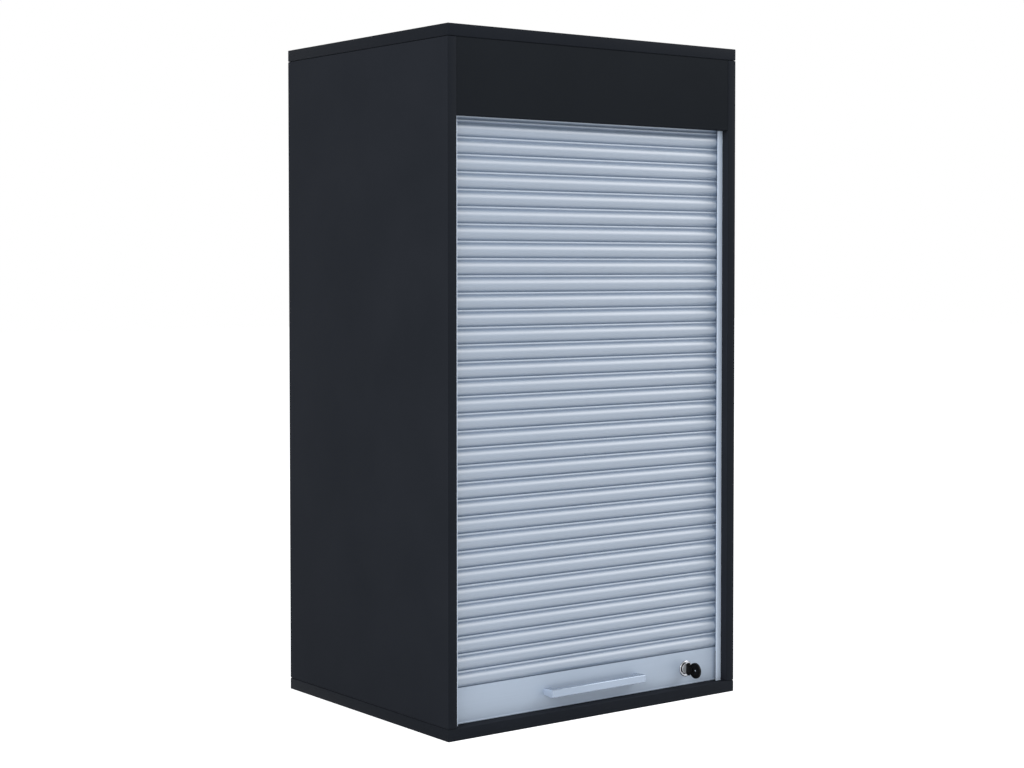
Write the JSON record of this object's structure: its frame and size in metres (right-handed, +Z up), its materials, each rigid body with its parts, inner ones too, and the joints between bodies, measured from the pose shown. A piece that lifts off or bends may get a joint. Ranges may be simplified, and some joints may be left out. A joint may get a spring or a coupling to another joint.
{
  "type": "roll front tool cabinet",
  "caption": "Upright board cabinet with shelves behind a lockable roll-up slat shutter that runs in side rails and winds into spiral cassettes behind a fascia.",
  "frame": {"origin": "on the floor, under the middle of the carcass footprint", "axes": "+Z up; the shutter faces -Y; +X to the right seen from the front"},
  "size_m": [0.5, 0.4151, 0.92],
  "materials": {
    "board": "anthracite melamine-faced board, fine matt grain",
    "back_board": "thin anthracite hardboard",
    "fascia": "anthracite powder coat",
    "slat": "pale silver-blue, satin",
    "rail": "pale silver-blue, satin",
    "cassette": "dark grey moulding",
    "bar": "silver anodised, satin",
    "handle": "silver anodised, fine brushed",
    "seal": "matt black",
    "shoe": "dark grey, smooth",
    "lock": "polished",
    "plug": "satin",
    "zinc": "bright zinc plating",
    "key": "black moulding over a steel blade"
  },
  "bodies": {
    "cabinet": {"base_board": "board", "top_board": "board", "side_left": "board", "side_right": "board", "back_panel": "back_board", "fascia": "fascia", "ceiling_board": "board", "shelf_lower": "board", "shelf_upper": "board", "shelf_pins": "zinc", "guide_left": "rail", "guide_right": "rail", "cassette_left": "cassette", "cassette_right": "cassette", "panel_screws": "zinc", "strike_plate": "zinc", "slat_01": "slat", "slat_02": "slat", "slat_03": "slat", "slat_04": "slat", "slat_05": "slat", "slat_06": "slat", "slat_07": "slat", "slat_08": "slat", "slat_09": "slat", "slat_10": "slat", "slat_11": "slat", "slat_12": "slat", "slat_13": "slat", "slat_14": "slat", "slat_15": "slat", "slat_16": "slat", "slat_17": "slat", "slat_18": "slat", "slat_19": "slat", "slat_20": "slat", "slat_21": "slat", "slat_22": "slat", "slat_23": "slat", "slat_24": "slat", "slat_25": "slat", "slat_26": "slat", "slat_27": "slat", "slat_28": "slat", "slat_29": "slat", "slat_30": "slat", "slat_31": "slat", "slat_32": "slat", "slat_33": "slat", "slat_34": "slat"},
    "shutter_bar": {"end_bar": "bar", "bottom_seal": "seal", "bar_shoes": "shoe", "handle": "handle", "bar_fasteners": "zinc", "lock_body": "lock"},
    "lock_plug": {"lock_core": "plug", "lock_cam": "zinc"},
    "key": {"key": "key"},
    "key_grip": {"key_grip": "key"}
  },
  "joints": [
    {"name": "shutter_lift", "type": "slide", "parent": "cabinet", "child": "shutter_bar", "axis": [0, 0, 1], "range_m": [0, 0.74], "deforming": ["slat_01", "slat_02", "slat_03", "slat_04", "slat_05", "slat_06", "slat_07", "slat_08", "slat_09", "slat_10", "slat_11", "slat_12", "slat_13", "slat_14", "slat_15", "slat_16", "slat_17", "slat_18", "slat_19", "slat_20", "slat_21", "slat_22", "slat_23", "slat_24", "slat_25", "slat_26", "slat_27", "slat_28", "slat_29", "slat_30", "slat_31", "slat_32", "slat_33", "slat_34"]},
    {"name": "lock_turn", "type": "hinge", "parent": "shutter_bar", "child": "lock_plug", "pos_m": [0.172, -0.176, 0.04], "axis": [0, 1, 0], "range_deg": [0, 90]},
    {"name": "key_pull", "type": "slide", "parent": "lock_plug", "child": "key", "axis": [0, -1, 0], "range_m": [0, 0.03]},
    {"name": "grip_fold", "type": "hinge", "parent": "key", "child": "key_grip", "pos_m": [0.172, -0.1937, 0.04], "axis": [0, 0, 1], "range_deg": [-90, 90]}
  ]
}
